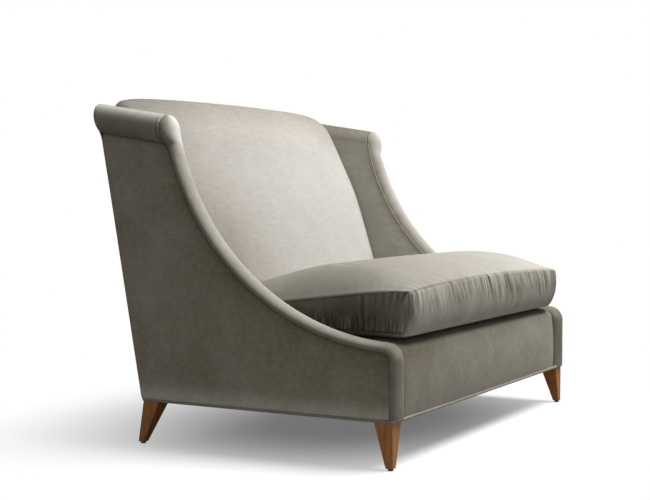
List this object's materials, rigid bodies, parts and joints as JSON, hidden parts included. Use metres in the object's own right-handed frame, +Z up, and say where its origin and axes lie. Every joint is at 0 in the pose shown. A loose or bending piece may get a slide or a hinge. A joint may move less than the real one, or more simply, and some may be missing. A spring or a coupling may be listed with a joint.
{
  "type": "curved-back armchair",
  "caption": "Wide upholstered armchair with swooping arms that roll outward at the wings, tight back, one loose seat cushion and tapered wooden legs.",
  "frame": {"origin": "centre of the bounding box on the floor, under the glides", "axes": "+X across the chair (left is -X seen from the front), +Y from front to back, +Z up"},
  "size_m": [1.26, 0.9097, 0.925],
  "materials": {
    "velvet": "cut-pile velvet, grey taupe",
    "stained_wood": "cherry stain under satin lacquer",
    "frame_wood": "planed hardwood",
    "steel": "zinc plated",
    "foam": "cut foam",
    "lining_cloth": "woven lining",
    "zip_tape": "woven tape with nylon coil",
    "zip_metal": "die cast",
    "black_plastic": "moulded"
  },
  "bodies": {
    "chair": {"back_pad": "foam", "back_seat_rail": "frame_wood", "back_webbing": "lining_cloth", "base_welt": "velvet", "block_screws": "steel", "burlap": "lining_cloth", "corner_blocks": "frame_wood", "deck_cloth": "lining_cloth", "deck_pad": "foam", "dust_cover": "lining_cloth", "frame_dowels": "frame_wood", "front_border": "velvet", "front_pad": "foam", "front_seat_rail": "frame_wood", "glides": "black_plastic", "hanger_bolts": "steel", "insert_nuts": "steel", "inside_back": "velvet", "left_arm_rail": "frame_wood", "left_back_post": "frame_wood", "left_facing": "velvet", "left_front_leg": "stained_wood", "left_front_stump": "frame_wood", "left_inside_arm": "velvet", "left_outside_arm": "velvet", "left_rear_leg": "stained_wood", "left_roll": "velvet", "left_roll_core": "frame_wood", "left_roll_pad": "foam", "left_side_rail": "frame_wood", "lower_back_rail": "frame_wood", "outside_back": "velvet", "right_arm_rail": "frame_wood", "right_back_post": "frame_wood", "right_facing": "velvet", "right_front_leg": "stained_wood", "right_front_stump": "frame_wood", "right_inside_arm": "velvet", "right_outside_arm": "velvet", "right_rear_leg": "stained_wood", "right_roll": "velvet", "right_roll_core": "frame_wood", "right_roll_pad": "foam", "right_side_rail": "frame_wood", "sinuous_springs": "steel", "spring_clips": "steel", "top_back_rail": "frame_wood"},
    "seat_cushion": {"cushion_cover": "velvet", "cushion_core": "foam", "zip": "zip_tape"},
    "zip_slider_body": {"zip_slider": "zip_metal"}
  },
  "joints": [
    {"name": "cushion_lift", "type": "slide", "parent": "chair", "child": "seat_cushion", "axis": [0, 0, 1], "range_m": [0, 0.7]},
    {"name": "zip_run", "type": "slide", "parent": "seat_cushion", "child": "zip_slider_body", "axis": [1, 0, 0], "range_m": [-0.8, 0]}
  ]
}
